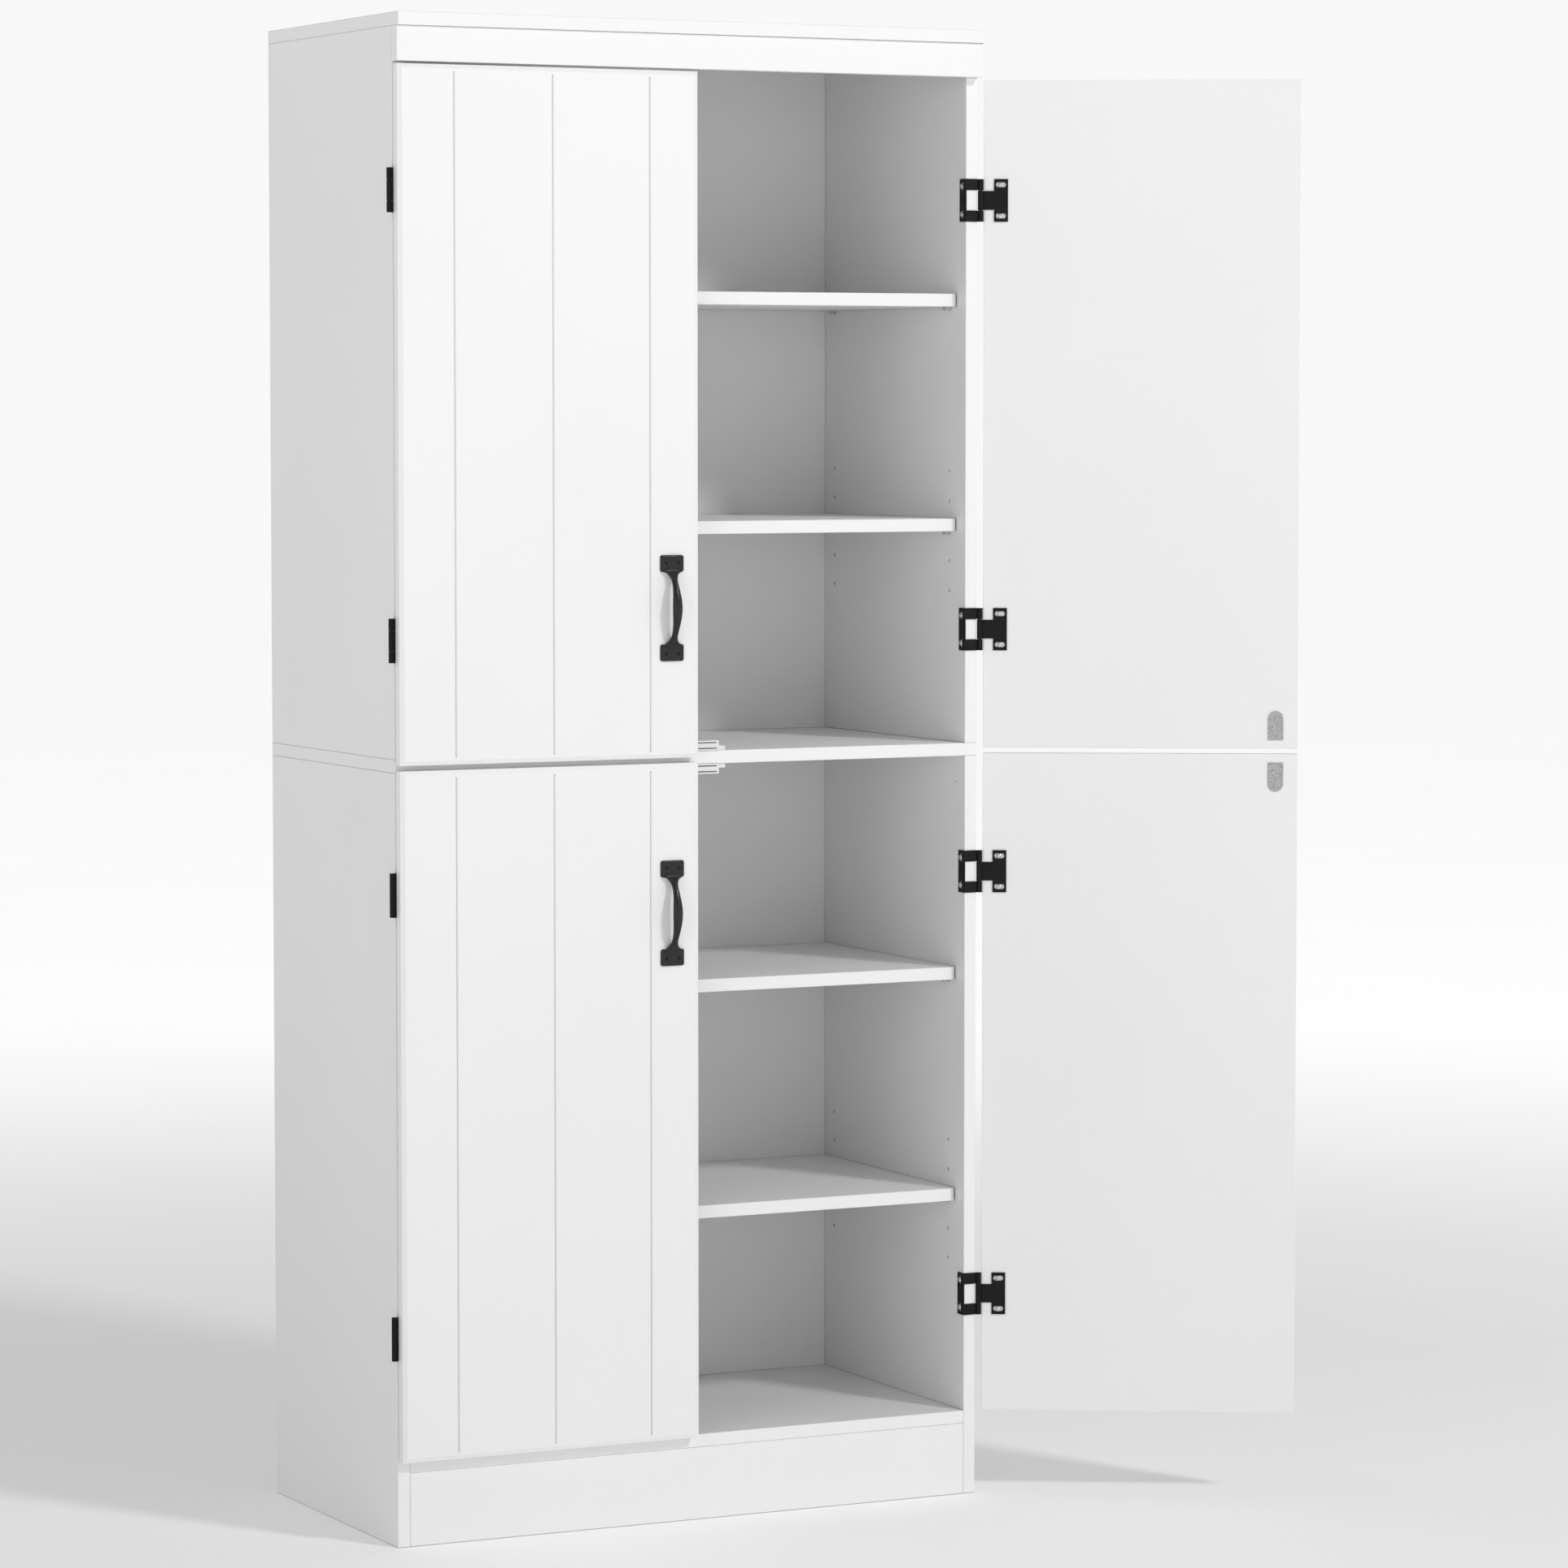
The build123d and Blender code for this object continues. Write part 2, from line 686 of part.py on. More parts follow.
def pull_screw_planes(pull_z):
    """Heads of a pull's four screws, facing out of the door."""
    planes = []
    for side in (-1, 1):
        for way in (-1, 1):
            across = pull_x + side * pull_screw_spacing / 2
            height = pull_z + way * (pull_half - pull_screw_set)
            origin = (across, door_face - pull_plate_thickness, height)
            planes.append(Plane(origin=origin, x_dir=(1, 0, 0), z_dir=(0, -1, 0)))
    return planes


def add_pull(frame, pull_z):
    """A bowed bar between two plates: its front and side outlines drawn through, and what they share."""
    neck_half, belly_half = pull_bar_half
    out_plane = within(frame, Plane(origin=(pull_x, door_face, pull_z), x_dir=(1, 0, 0), z_dir=(0, -1, 0)))
    with BuildSketch(out_plane) as front_outline:
        with BuildLine():
            belly = ThreePointArc((neck_half, -pull_neck), (belly_half, 0), (neck_half, pull_neck))
            for way in (-1, 1):
                flare_bend = (neck_half + pull_flare_bend[0], way * (pull_neck + pull_flare_bend[1]))
                root = (pull_flare_half, way * pull_plate_end)
                flare = ThreePointArc((neck_half, way * pull_neck), flare_bend, root)
                Line(root, (0, way * pull_plate_end))
                mirror(flare, about=Plane.YZ)
            mirror(belly, about=Plane.YZ)
            for way in (-1, 1):
                Line((0, way * pull_plate_end), (-pull_flare_half, way * pull_plate_end))
        make_face()
    extrude(front_outline.sketch, amount=pull_stand_out)
    side_plane = within(frame, Plane(origin=(pull_x, door_face, pull_z), x_dir=(0, -1, 0), z_dir=(1, 0, 0)))
    with BuildSketch(side_plane) as side_outline:
        with BuildLine():
            outer = ThreePointArc((0, -pull_foot[1]), (pull_stand_out, 0), (0, pull_foot[1]))
            inner = ThreePointArc((0, -pull_foot[0]), (pull_finger_room, 0), (0, pull_foot[0]))
            for way in (-1, 1):
                Line((0, way * pull_foot[0]), (0, way * pull_foot[1]))
        make_face()
    extrude(side_outline.sketch, amount=pull_flare_half, both=True, mode=Mode.INTERSECT)
    for way in (-1, 1):
        plate_middle = pull_z + way * (pull_half - pull_plate[1] / 2)
        plate_plane = Plane(origin=(pull_x, door_face, plate_middle), x_dir=(1, 0, 0), z_dir=(0, -1, 0))
        with BuildSketch(within(frame, plate_plane)) as plate:
            RectangleRounded(*pull_plate, pull_plate_corner)
        extrude(plate.sketch, amount=pull_plate_thickness)
    pilot_holes(pull_screw_planes(pull_z), pull_screw)


for tier, tier_bottom, end in tiers:
    for hand, sign in hands:
        frame = door_plane(hand, sign, tier_bottom)
        to_middle = -sign * end  # the way along the door's z to the middle panel
        out_of_door = Axis(frame.origin, frame.y_dir)
        pull_z = to_middle * (door_height / 2 - pull_inset)
        name = f"{tier}_{hand}"

        with BuildPart(frame) as door_panel:
            with Locations((knuckle_offset, door_inner, 0)):
                Box(door_width, board, door_height, align=(Align.MIN, Align.MAX, Align.CENTER))
            face = door_panel.faces().sort_by(out_of_door)[0]
            chamfer(face.edges(), length=bevel_width, length2=bevel_depth, reference=face)
            chamfer(door_panel.faces().sort_by(out_of_door)[-1].edges(), edge_break)
            groove_half = plank_groove_width / 2
            first_line = knuckle_offset + first_groove
            groove_places = [(first_line + step * groove_pitch, door_face) for step in range(3)]
            with BuildSketch(frame) as grooves:
                with Locations(*groove_places):
                    Polygon((-groove_half, 0), (groove_half, 0), (0, plank_groove_depth), align=None)
            groove_run = door_height / 2 - plank_groove_stop
            extrude(grooves.sketch, amount=groove_run, both=True, mode=Mode.SUBTRACT)
            pilot_holes(leaf_slot_planes, hinge_screw)
            pilot_holes(pull_screw_planes(pull_z), pull_screw)
        finish(door_panel, f"{name}_door")

        with BuildPart(frame) as door_leaves:
            with Locations(*[(0, 0, level) for level in hinge_levels]):
                Cylinder(knuckle_radius, frame_window - 2 * knuckle_gap)
                with Locations((0, door_inner, 0)):
                    Box(
                        knuckle_offset + neck_reach,
                        leaf_thickness,
                        neck_height,
                        align=(Align.MIN, Align.MIN, Align.CENTER),
                    )
                with Locations((knuckle_offset + neck_reach, door_inner, 0)):
                    Box(
                        leaf_reach - neck_reach,
                        leaf_thickness,
                        hinge_height,
                        align=(Align.MIN, Align.MIN, Align.CENTER),
                    )
                Cylinder(pin_radius + pin_play, hinge_height, mode=Mode.SUBTRACT)
            slot_cut(leaf_slot_planes, *leaf_slot, leaf_thickness)
        finish(door_leaves, f"{name}_door_leaves")

        with BuildPart(frame) as leaf_screws:
            screws(leaf_slot_planes, hinge_screw)
        finish(leaf_screws, f"{name}_leaf_screws")

        with BuildPart(frame) as pull:
            add_pull(frame, pull_z)
        finish(pull, f"{name}_pull")

        with BuildPart(frame) as pull_screws:
            screws(pull_screw_planes(pull_z), pull_screw)
        finish(pull_screws, f"{name}_pull_screws")

        with BuildPart(frame) as strike_plate:
            strike_width, strike_height = strike_size
            strike_x = free_edge - strike_from_edge
            flat_end = to_middle * (door_height / 2 - strike_from_end)
            round_centre = flat_end - to_middle * (strike_height - strike_width / 2)
            with Locations((strike_x, door_inner, (flat_end + round_centre) / 2)):
                Box(
                    strike_width,
                    strike_thickness,
                    strike_height - strike_width / 2,
                    align=(Align.CENTER, Align.MIN, Align.CENTER),
                )
            round_end = Plane(origin=(strike_x, door_inner, round_centre), x_dir=(1, 0, 0), z_dir=(0, 1, 0))
            with Locations(round_end):
                Cylinder(strike_width / 2, strike_thickness, align=rising)
        finish(strike_plate, f"{name}_strike_plate")
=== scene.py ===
import json
import math

import bmesh
import bpy
from mathutils import Matrix, Vector


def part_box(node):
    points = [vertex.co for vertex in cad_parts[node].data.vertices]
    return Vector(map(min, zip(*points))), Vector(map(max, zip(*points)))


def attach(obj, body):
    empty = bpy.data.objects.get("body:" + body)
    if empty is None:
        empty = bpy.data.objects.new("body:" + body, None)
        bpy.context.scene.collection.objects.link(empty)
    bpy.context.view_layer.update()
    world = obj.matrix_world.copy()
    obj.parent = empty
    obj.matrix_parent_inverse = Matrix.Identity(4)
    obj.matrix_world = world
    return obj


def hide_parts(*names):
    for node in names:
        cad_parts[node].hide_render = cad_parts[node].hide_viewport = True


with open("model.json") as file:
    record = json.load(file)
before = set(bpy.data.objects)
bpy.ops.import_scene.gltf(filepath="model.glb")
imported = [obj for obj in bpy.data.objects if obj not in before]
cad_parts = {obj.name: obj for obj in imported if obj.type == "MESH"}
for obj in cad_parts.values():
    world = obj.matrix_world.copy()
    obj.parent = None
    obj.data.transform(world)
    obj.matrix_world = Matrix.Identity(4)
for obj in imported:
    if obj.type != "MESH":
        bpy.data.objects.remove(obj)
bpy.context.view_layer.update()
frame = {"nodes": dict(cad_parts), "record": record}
nodes = frame["nodes"]
slots = {part["node"]: part["material_slot"] for part in frame["record"]["subparts"]}
joints = {joint["name"]: joint for joint in frame["record"]["behaviour"]["joints"]}

HANDS = ("left", "right")
TIERS = ("lower", "upper")

# ---- materials: lengths in metres, and texture scales in features per metre ----
# painted shade in seams and inside corners: how far it looks for nearby surfaces, its samples, and where it
# is full and where it fades out
SHADE_REACH = 0.0016
SHADE_SAMPLES = 6
SHADE_FULL, SHADE_NONE = 0.50, 0.93  # shares of open surroundings: full painted shade, and none


class Shader:
    """A node material with short calls for the nodes used here."""

    def __init__(self, name):
        self.material = bpy.data.materials.new(name)
        self.material.use_nodes = True
        self.tree = self.material.node_tree
        self.bsdf = self.tree.nodes["Principled BSDF"]
        self.place = self.add("ShaderNodeTexCoord").outputs["Object"]

    def add(self, kind, inputs=None, **settings):
        node = self.tree.nodes.new(kind)
        for key, value in settings.items():
            setattr(node, key, value)
        for key, value in (inputs or {}).items():
            if isinstance(value, bpy.types.NodeSocket):
                self.tree.links.new(value, node.inputs[key])
            else:
                node.inputs[key].default_value = value
        return node

    def set(self, **values):
        for key, value in values.items():
            self.bsdf.inputs[key.replace("_", " ")].default_value = value

    def link(self, value, socket):
        self.tree.links.new(value, self.bsdf.inputs[socket])

    def stretched(self, scale):
        return self.add("ShaderNodeMapping", {"Vector": self.place, "Scale": scale}).outputs["Vector"]

    def noise(self, scale, detail=3.0, rough=0.55, place=None):
        values = {"Vector": place or self.place, "Scale": scale, "Detail": detail, "Roughness": rough}
        return self.add("ShaderNodeTexNoise", values).outputs["Fac"]

    def spread(self, value, low, high, start=0.35, end=0.65):
        """Maps the stretch from start to end onto low to high."""
        values = {0: value, 1: start, 2: end, 3: low, 4: high}
        return self.add("ShaderNodeMapRange", values).outputs[0]

    def ramp(self, value, *stops):
        node = self.add("ShaderNodeValToRGB", {"Fac": value})
        while len(node.color_ramp.elements) < len(stops):
            node.color_ramp.elements.new(0.5)
        for element, (position, colour) in zip(node.color_ramp.elements, stops):
            element.position = position
            element.color = (*colour, 1.0)
        return node.outputs["Color"]

    def two_tone(self, value, dark, light, start=0.3, end=0.7):
        return self.ramp(value, (start, dark), (end, light))

    def painted_seam_shade(self, colour, deepest):
        """Paints shade into a colour in narrow seams and inside corners, darkening it at most to the deepest
        share of itself.
        """
        surroundings = self.add("ShaderNodeAmbientOcclusion", {"Distance": SHADE_REACH}, samples=SHADE_SAMPLES)
        share = self.spread(surroundings.outputs["AO"], deepest, 1.0, SHADE_FULL, SHADE_NONE)
        return self.add("ShaderNodeVectorMath", {0: colour, "Scale": share}, operation="SCALE").outputs[0]

    def bump(self, *layers):
        """Each layer is a height, its strength and its depth in metres."""
        normal = None
        for height, strength, distance in layers:
            values = {"Height": height, "Strength": strength, "Distance": distance}
            if normal:
                values["Normal"] = normal
            normal = self.add("ShaderNodeBump", values).outputs["Normal"]
        self.link(normal, "Normal")
        return self


def grey(value, warm=0.0):
    """A grey, with its red raised and its blue lowered by the warm share."""
    return (value * (1 + warm), value, value * (1 - warm))


def laminate(name, tone, rough, pebble=1.0, seam_shade=0.62):
    """Melamine foil: a faint pebbled press texture with a slow drift in tone and gloss, and painted shade in
    its seams and inside corners.
    """
    shader = Shader(name)
    haze = 0.012
    drift = shader.noise(scale=2.3, detail=2.0)
    tones = shader.two_tone(drift, grey(tone - haze), grey(tone + haze / 2))
    # painted shade: the tone is darkened in seams, grooves and inside corners
    shader.link(shader.painted_seam_shade(tones, seam_shade), "Base Color")
    pebbles = shader.noise(scale=1400.0, detail=2.0, rough=0.4)
    waves = shader.noise(scale=38.0, detail=2.0, rough=0.5)
    cloud = shader.noise(scale=7.0, detail=4.0)
    shader.link(shader.spread(cloud, rough - 0.03, rough + 0.04), "Roughness")
    shader.set(Specular_IOR_Level=0.42)
    return shader.bump((waves, 0.10, 0.0006), (pebbles, 0.16 * pebble, 0.00012)).material


def powder_coat(name, tone, rough, grain=1500.0, depth=0.00016, gloss=0.3):
    """Baked black powder: fine orange peel with scattered glossier grains."""
    shader = Shader(name)
    peel = shader.noise(scale=grain, rough=0.6)
    lumps = shader.noise(scale=grain / 5)
    tones = shader.two_tone(lumps, grey(tone * 0.75), grey(tone * 1.35), start=0.35, end=0.68)
    shader.link(tones, "Base Color")
    shader.link(shader.spread(lumps, rough - 0.07, rough + 0.10), "Roughness")
    shader.set(Specular_IOR_Level=gloss)
    return shader.bump((lumps, 0.25, depth * 2), (peel, 0.45, depth)).material


def plated(name, tone, rough, scale=(900.0, 900.0, 60.0), tint=0.0):
    """Zinc plating: bright steel with fine drawn lines and a cloudy tone."""
    shader = Shader(name)
    cloud = shader.noise(scale=420.0, detail=4.0)
    lines = shader.noise(scale=1.0, rough=0.6, place=shader.stretched(scale))
    shader.link(shader.two_tone(cloud, grey(tone * 0.86, tint), grey(tone * 1.08, tint)), "Base Color")
    shader.link(shader.spread(lines, rough - 0.08, rough + 0.12), "Roughness")
    shader.set(Metallic=1.0)
    return shader.bump((lines, 0.18, 0.00005)).material


def sparkled(name):
    """Galvanized steel: small bright and dark spangles."""
    shader = Shader(name)
    spots = shader.noise(scale=820.0, detail=5.0, rough=0.75)
    cells = shader.add("ShaderNodeTexVoronoi", {"Vector": shader.place, "Scale": 520.0}).outputs["Distance"]
    shader.link(shader.ramp(spots, (0.36, grey(0.20)), (0.5, grey(0.42)), (0.64, grey(0.72))), "Base Color")
    shader.link(shader.spread(cells, 0.42, 0.66, start=0.0, end=0.8), "Roughness")
    shader.set(Metallic=0.45, Specular_IOR_Level=0.5)
    return shader.bump((spots, 0.5, 0.00014), (cells, 0.2, 0.00006)).material


def moulded(name, tone, rough):
    """Injection-moulded plastic: very fine spark texture with slow flow marks."""
    shader = Shader(name)
    flow = shader.noise(scale=30.0, detail=2.0, rough=0.5, place=shader.stretched((1.0, 3.0, 1.0)))
    spark = shader.noise(scale=2600.0, detail=2.0, rough=0.5)
    shader.link(shader.two_tone(flow, grey(tone * 0.97), grey(tone * 1.02)), "Base Color")
    shader.link(shader.spread(flow, rough - 0.03, rough + 0.05), "Roughness")
    shader.set(Specular_IOR_Level=0.45, Subsurface_Weight=0.04, Subsurface_Scale=0.002)
    return shader.bump((spark, 0.25, 0.00006)).material


def beech(name):
    """Turned beech: long straight grain with short darker flecks."""
    shader = Shader(name)
    grain = shader.noise(scale=1.0, detail=4.0, rough=0.6, place=shader.stretched((240.0, 240.0, 25.0)))
    flecks = shader.noise(scale=1.0, detail=2.0, rough=0.7, place=shader.stretched((900.0, 900.0, 180.0)))
    dark, light = (0.44, 0.28, 0.15), (0.60, 0.42, 0.25)
    shader.link(shader.two_tone(grain, dark, light), "Base Color")
    shader.link(shader.spread(flecks, 0.5, 0.7), "Roughness")
    return shader.bump((grain, 0.3, 0.0001), (flecks, 0.3, 0.00008)).material


finishes = {
    "white_board": laminate("laminate_satin", 0.88, 0.46),
    "door_board": laminate("lacquer_satin", 0.88, 0.40, pebble=0.6, seam_shade=0.82),
    "back_board": laminate("backing_foil", 0.86, 0.55, pebble=1.3),
    "black_cast": powder_coat("cast_black", 0.006, 0.32, grain=1100.0, depth=0.0002, gloss=0.42),
    "black_screw": powder_coat("screw_black", 0.010, 0.34, gloss=0.35),
    "black_steel": powder_coat("steel_black", 0.006, 0.46, gloss=0.18),
    "steel_screw": plated("screw_zinc", 0.72, 0.30),
    "strike_steel": sparkled("strike_spangle"),
    "catch_plastic": moulded("catch_white", 0.80, 0.42),
    "cap_plastic": moulded("cap_white", 0.87, 0.45),
    "pole_steel": plated("pole_dark", 0.16, 0.42),
    "magnet": powder_coat("ferrite", 0.05, 0.6),
    "cam_zinc": plated("cam_die_cast", 0.62, 0.42, scale=(300.0, 300.0, 300.0)),
    "fitting_steel": plated("fitting_zinc", 0.66, 0.34, tint=0.02),
    "beech": beech("beech_raw"),
}

for name, node in nodes.items():
    node.data.materials.clear()
    node.data.materials.append(finishes[slots[name]])


# ---- places ----
def door_matrix(tier, hand):
    """
    A door's own frame: x from the hinge axis to the free edge, y into the cabinet when closed.
    The right doors are built open, and are the left ones turned end for end.
    """
    joint = joints[f"{tier}_{hand}_door_hinge"]
    swing, turn = Matrix(), Matrix()
    if hand == "right":
        swing = Matrix.Rotation(math.radians(-joint["range_deg"][0]), 4, "Z")
        turn = Matrix.Rotation(math.pi, 4, "Y")
    return Matrix.Translation(joint["pos_m"]) @ swing @ turn


def local_box(tier, part):
    """A left door part's box in the door's own frame. The right door's part has the same one, end for end."""
    axis = Vector(joints[f"{tier}_left_door_hinge"]["pos_m"])
    low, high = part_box(f"{tier}_left_{part}")
    return Vector(low) - axis, Vector(high) - axis


def facing(place, normal, along):
    """A frame at a point, with z along a surface's normal."""
    z = Vector(normal).normalized()
    x = Vector(along).normalized()
    y = z.cross(x)
    turn = Matrix((x, y, z)).transposed().to_4x4()
    return Matrix.Translation(place) @ turn


# ---- mesh building ----
def loop(mesh, matrix, points):
    return [mesh.verts.new(matrix @ Vector(point)) for point in points]


def skin(mesh, first, second):
    """Quads between two closed loops of the same length."""
    count = len(first)
    for index in range(count):
        after = (index + 1) % count
        mesh.faces.new((first[index], first[after], second[after], second[index]))


def lofted(mesh, loops):
    """Closes a stack of loops with a face at each end."""
    for first, second in zip(loops, loops[1:]):
        skin(mesh, first, second)
    mesh.faces.new(list(reversed(loops[0])))
    mesh.faces.new(loops[-1])


def piece(name, mesh, body, slot, replaced, sharp):
    """Turns a finished bmesh into a piece on a body. Edges above the sharp angle, in degrees, stay sharp."""
    bmesh.ops.recalc_face_normals(mesh, faces=mesh.faces)
    data = bpy.data.meshes.new(name)
    mesh.to_mesh(data)
    mesh.free()
    data.shade_smooth()
    data.set_sharp_from_angle(angle=math.radians(sharp))
    data.materials.append(finishes[slot])
    made = bpy.data.objects.new(name, data)
    bpy.context.collection.objects.link(made)
    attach(made, body)
    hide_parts(*replaced)


def rounded_rectangle(half_x, half_y, radius, level):
    """Points round a rectangle with round corners, anticlockwise."""
    steps = 6
    points = []
    for corner in range(4):
        middle_x = (half_x - radius) * (1 if corner in (0, 3) else -1)
        middle_y = (half_y - radius) * (1 if corner in (0, 1) else -1)
        for step in range(steps + 1):
            angle = math.pi / 2 * (corner + step / steps)
            points.append((middle_x + radius * math.cos(angle), middle_y + radius * math.sin(angle), level))
    return points


def screw_head(mesh, matrix, radius, height, turn):
    """A domed head with a cross recess. z comes out of the head."""
    spokes, rings = 56, 15
    rim_power, dome_power = 0.62, 0.80
    arm_width, arm_reach, sink = radius * 0.20, radius * 0.64, height * 0.72
    loops = []
    for ring in range(rings):
        angle = math.pi / 2 * ring / rings
        reach = radius * math.cos(angle) ** rim_power
        rise = height * math.sin(angle) ** dome_power
        points = []
        for spoke in range(spokes):
            way = 2 * math.pi * spoke / spokes
            x, y = reach * math.cos(way), reach * math.sin(way)
            across, along = sorted((abs(x), abs(y)))
            inside = across < arm_width and along < arm_reach
            points.append((*(Matrix.Rotation(turn, 2) @ Vector((x, y))), rise - (sink if inside else 0.0)))
        loops.append(loop(mesh, matrix, points))
    for first, second in zip(loops, loops[1:]):
        skin(mesh, first, second)
    tip = mesh.verts.new(matrix @ Vector((0, 0, height - sink)))
    last = loops[-1]
    for spoke in range(spokes):
        mesh.faces.new((last[spoke], last[(spoke + 1) % spokes], tip))


def screw_shank(mesh, matrix, radius, length):
    """A threaded shank below the head, with a point."""
    spokes, pitch, tip = 14, radius * 0.75, radius * 2.2
    root_share, point_share = 0.74, 0.08
    angles = [2 * math.pi * spoke / spokes for spoke in range(spokes)]
    steps = int(length / pitch * 2)
    loops = []
    for step in range(steps + 1):
        depth = length * step / steps
        crest = radius if step % 2 else radius * root_share
        taper = min(1.0, (length - depth) / tip + point_share)
        points = [(crest * taper * math.cos(a), crest * taper * math.sin(a), -depth) for a in angles]
        loops.append(loop(mesh, matrix, points))
    lofted(mesh, loops)


def screw_set(name, places, body, slot, replaced, sizes):
    """Screws at these frames, each turned to a different stop."""
    radius, height, shank, length = sizes
    first_turn, turn_step = 0.35, 1.17
    mesh = bmesh.new()
    for index, place in enumerate(places):
        screw_head(mesh, place, radius, height, first_turn + turn_step * index)
        screw_shank(mesh, place, shank, length)
    piece(name, mesh, body, slot, replaced, sharp=50)


# ---- pulls: a bowed bar cast in one with its two plates ----
pull_steps, pull_spokes = 44, 36
plate_half = (0.0154, 0.0102)
plate_round, round_loss = 0.0027, 0.8  # the corners' radius, and what it loses per inset
plate_thick = 0.0030
# each level of a plate's edge: its inset and its height
plate_levels = ((0.0, 0.0), (0.0, 0.0019), (0.0003, 0.0025), (0.0010, 0.0029), (0.0018, plate_thick))
neck_half, belly_half, flare_half = 0.0035, 0.0061, 0.0126
belly_power, flare_power = 0.85, 2.1
neck_at = 0.032  # from the bar's middle
bow_out = (0.0220, 0.050)  # rise and foot of the bar's outer arc
bow_in = (0.0130, 0.041)
ridge_reach, ridge_height = 0.0058, 0.0043
ridge_end_share = 0.985
ridge_lead, ridge_blend = 0.004, 0.005  # the rise to the ridge: its start before the plate, and its length
thinnest_half, lowest_inside = 0.0004, 0.0006
oval_power, plate_power_gain = 2.25, 1.6  # the bar's section is oval at its belly and squarer at its plates
squaring_reach = 0.012


def bow(height, rise, foot):
    """Distance from the door's face to an arc that meets the face at its feet."""
    radius = (foot * foot + rise * rise) / (2 * rise)
    return rise - radius + math.sqrt(max(radius * radius - height * height, 0.0))


def smooth(value):
    value = min(max(value, 0.0), 1.0)
    return value * value * (3 - 2 * value)


def pull_width(height, plate_start):
    """Half width of the bar, from its belly through its necks and flares to the ridge on the plate."""
    height = abs(height)
    if height <= neck_at:
        wave = 0.5 + 0.5 * math.cos(math.pi * height / neck_at)
        return neck_half + (belly_half - neck_half) * wave ** belly_power
    if height <= plate_start:
        part = (height - neck_at) / (plate_start - neck_at)
        return neck_half + (flare_half - neck_half) * (1 - math.sqrt(max(0.0, 1 - part ** flare_power)))
    part = (height - plate_start) / ridge_reach
    return flare_half * math.sqrt(max(0.0, 1 - part * part))


def pull_mesh(matrix, half_length):
    """z along the bar, y out of the door."""
    mesh = bmesh.new()
    plate_start = half_length - 2 * plate_half[1]
    end = plate_start + ridge_reach * ridge_end_share
    steps = range(-pull_steps, pull_steps + 1)
    stations = [end * math.sin(math.pi / 2 * step / pull_steps) for step in steps]
    loops = []
    for height in stations:
        half = max(pull_width(height, plate_start), thinnest_half)
        outer = bow(height, *bow_out)
        inner = max(bow(height, *bow_in), lowest_inside)
        blend = smooth((abs(height) - plate_start + ridge_lead) / ridge_blend)
        outer = outer + (max(ridge_height, outer) - outer) * blend
        middle, thick = (outer + inner) / 2, (outer - inner) / 2
        power = 2 / (oval_power + plate_power_gain * smooth((abs(height) - neck_at) / squaring_reach))
        points = []
        for spoke in range(pull_spokes):
            angle = 2 * math.pi * spoke / pull_spokes
            cosine, sine = math.cos(angle), math.sin(angle)
            x = half * math.copysign(abs(cosine) ** power, cosine)
            y = middle + thick * math.copysign(abs(sine) ** power, sine)
            points.append((x, y, height))
        loops.append(loop(mesh, matrix, points))
    lofted(mesh, loops)
    for way in (-1, 1):
        plate = matrix @ facing((0, 0, way * (half_length - plate_half[1])), (0, 1, 0), (1, 0, 0))
        loops = []
        for inset, level in plate_levels:
            corner = plate_round - inset * round_loss
            outline = rounded_rectangle(plate_half[0] - inset, plate_half[1] - inset, corner, level)
            loops.append(loop(mesh, plate, outline))
        lofted(mesh, loops)
    return mesh


# ---- pulls and screws on the doors ----
# A screw is its head's radius and height, and its shank's radius and length.
hinge_screw = (0.0034, 0.0019, 0.0015, 0.012)
pull_screw = (0.0024, 0.0012, 0.00125, 0.012)
catch_screw = (0.0030, 0.0015, 0.0015, 0.012)
head_sink = 0.0001  # a head's rim goes this far below the face that it sits on
pull_screw_half_gap, pull_screw_inset = 0.0085, 0.009
hinge_half = 0.0265  # half a hinge's height
leaf_screw_offset = 0.0194  # a door leaf's screws, from the hinge's middle
leaf_slot_inset = 0.0087
leaf_head_level = -0.0003  # where their heads sit, from the hinge axis into the cabinet

for tier in TIERS:
    pull_low, pull_high = local_box(tier, "pull")
    leaf_low, leaf_high = local_box(tier, "door_leaves")
    half_length = (pull_high.z - pull_low.z) / 2
    for hand in HANDS:
        body = f"{tier}_{hand}_door"
        flip = 1 if hand == "left" else -1
        door = door_matrix(tier, hand)

        seat = Vector(((pull_low.x + pull_high.x) / 2, pull_high.y, flip * (pull_low.z + pull_high.z) / 2))
        pull_frame = door @ Matrix.Translation(seat) @ Matrix.Rotation(math.pi, 4, "Z")
        piece(f"{tier}_{hand}_pull_cast", pull_mesh(pull_frame, half_length), body, "black_cast",
              [f"{tier}_{hand}_pull"], sharp=40)
        places = []
        for side in (-1, 1):
            for way in (-1, 1):
                height = way * (half_length - pull_screw_inset)
                spot = (side * pull_screw_half_gap, plate_thick - head_sink, height)
                places.append(pull_frame @ facing(spot, (0, 1, 0), (1, 0, 0)))
        screw_set(f"{tier}_{hand}_pull_screw_set", places, body, "black_screw",
                  [f"{tier}_{hand}_pull_screws"], pull_screw)

        places = []
        slot_x = leaf_high.x - leaf_slot_inset
        for centre in (leaf_low.z + hinge_half, leaf_high.z - hinge_half):
            for way in (-1, 1):
                spot = (slot_x, leaf_head_level, flip * centre + way * leaf_screw_offset)
                places.append(door @ facing(spot, (0, 1, 0), (1, 0, 0)))
        screw_set(f"{tier}_{hand}_leaf_screw_set", places, body, "steel_screw",
                  [f"{tier}_{hand}_leaf_screws"], hinge_screw)

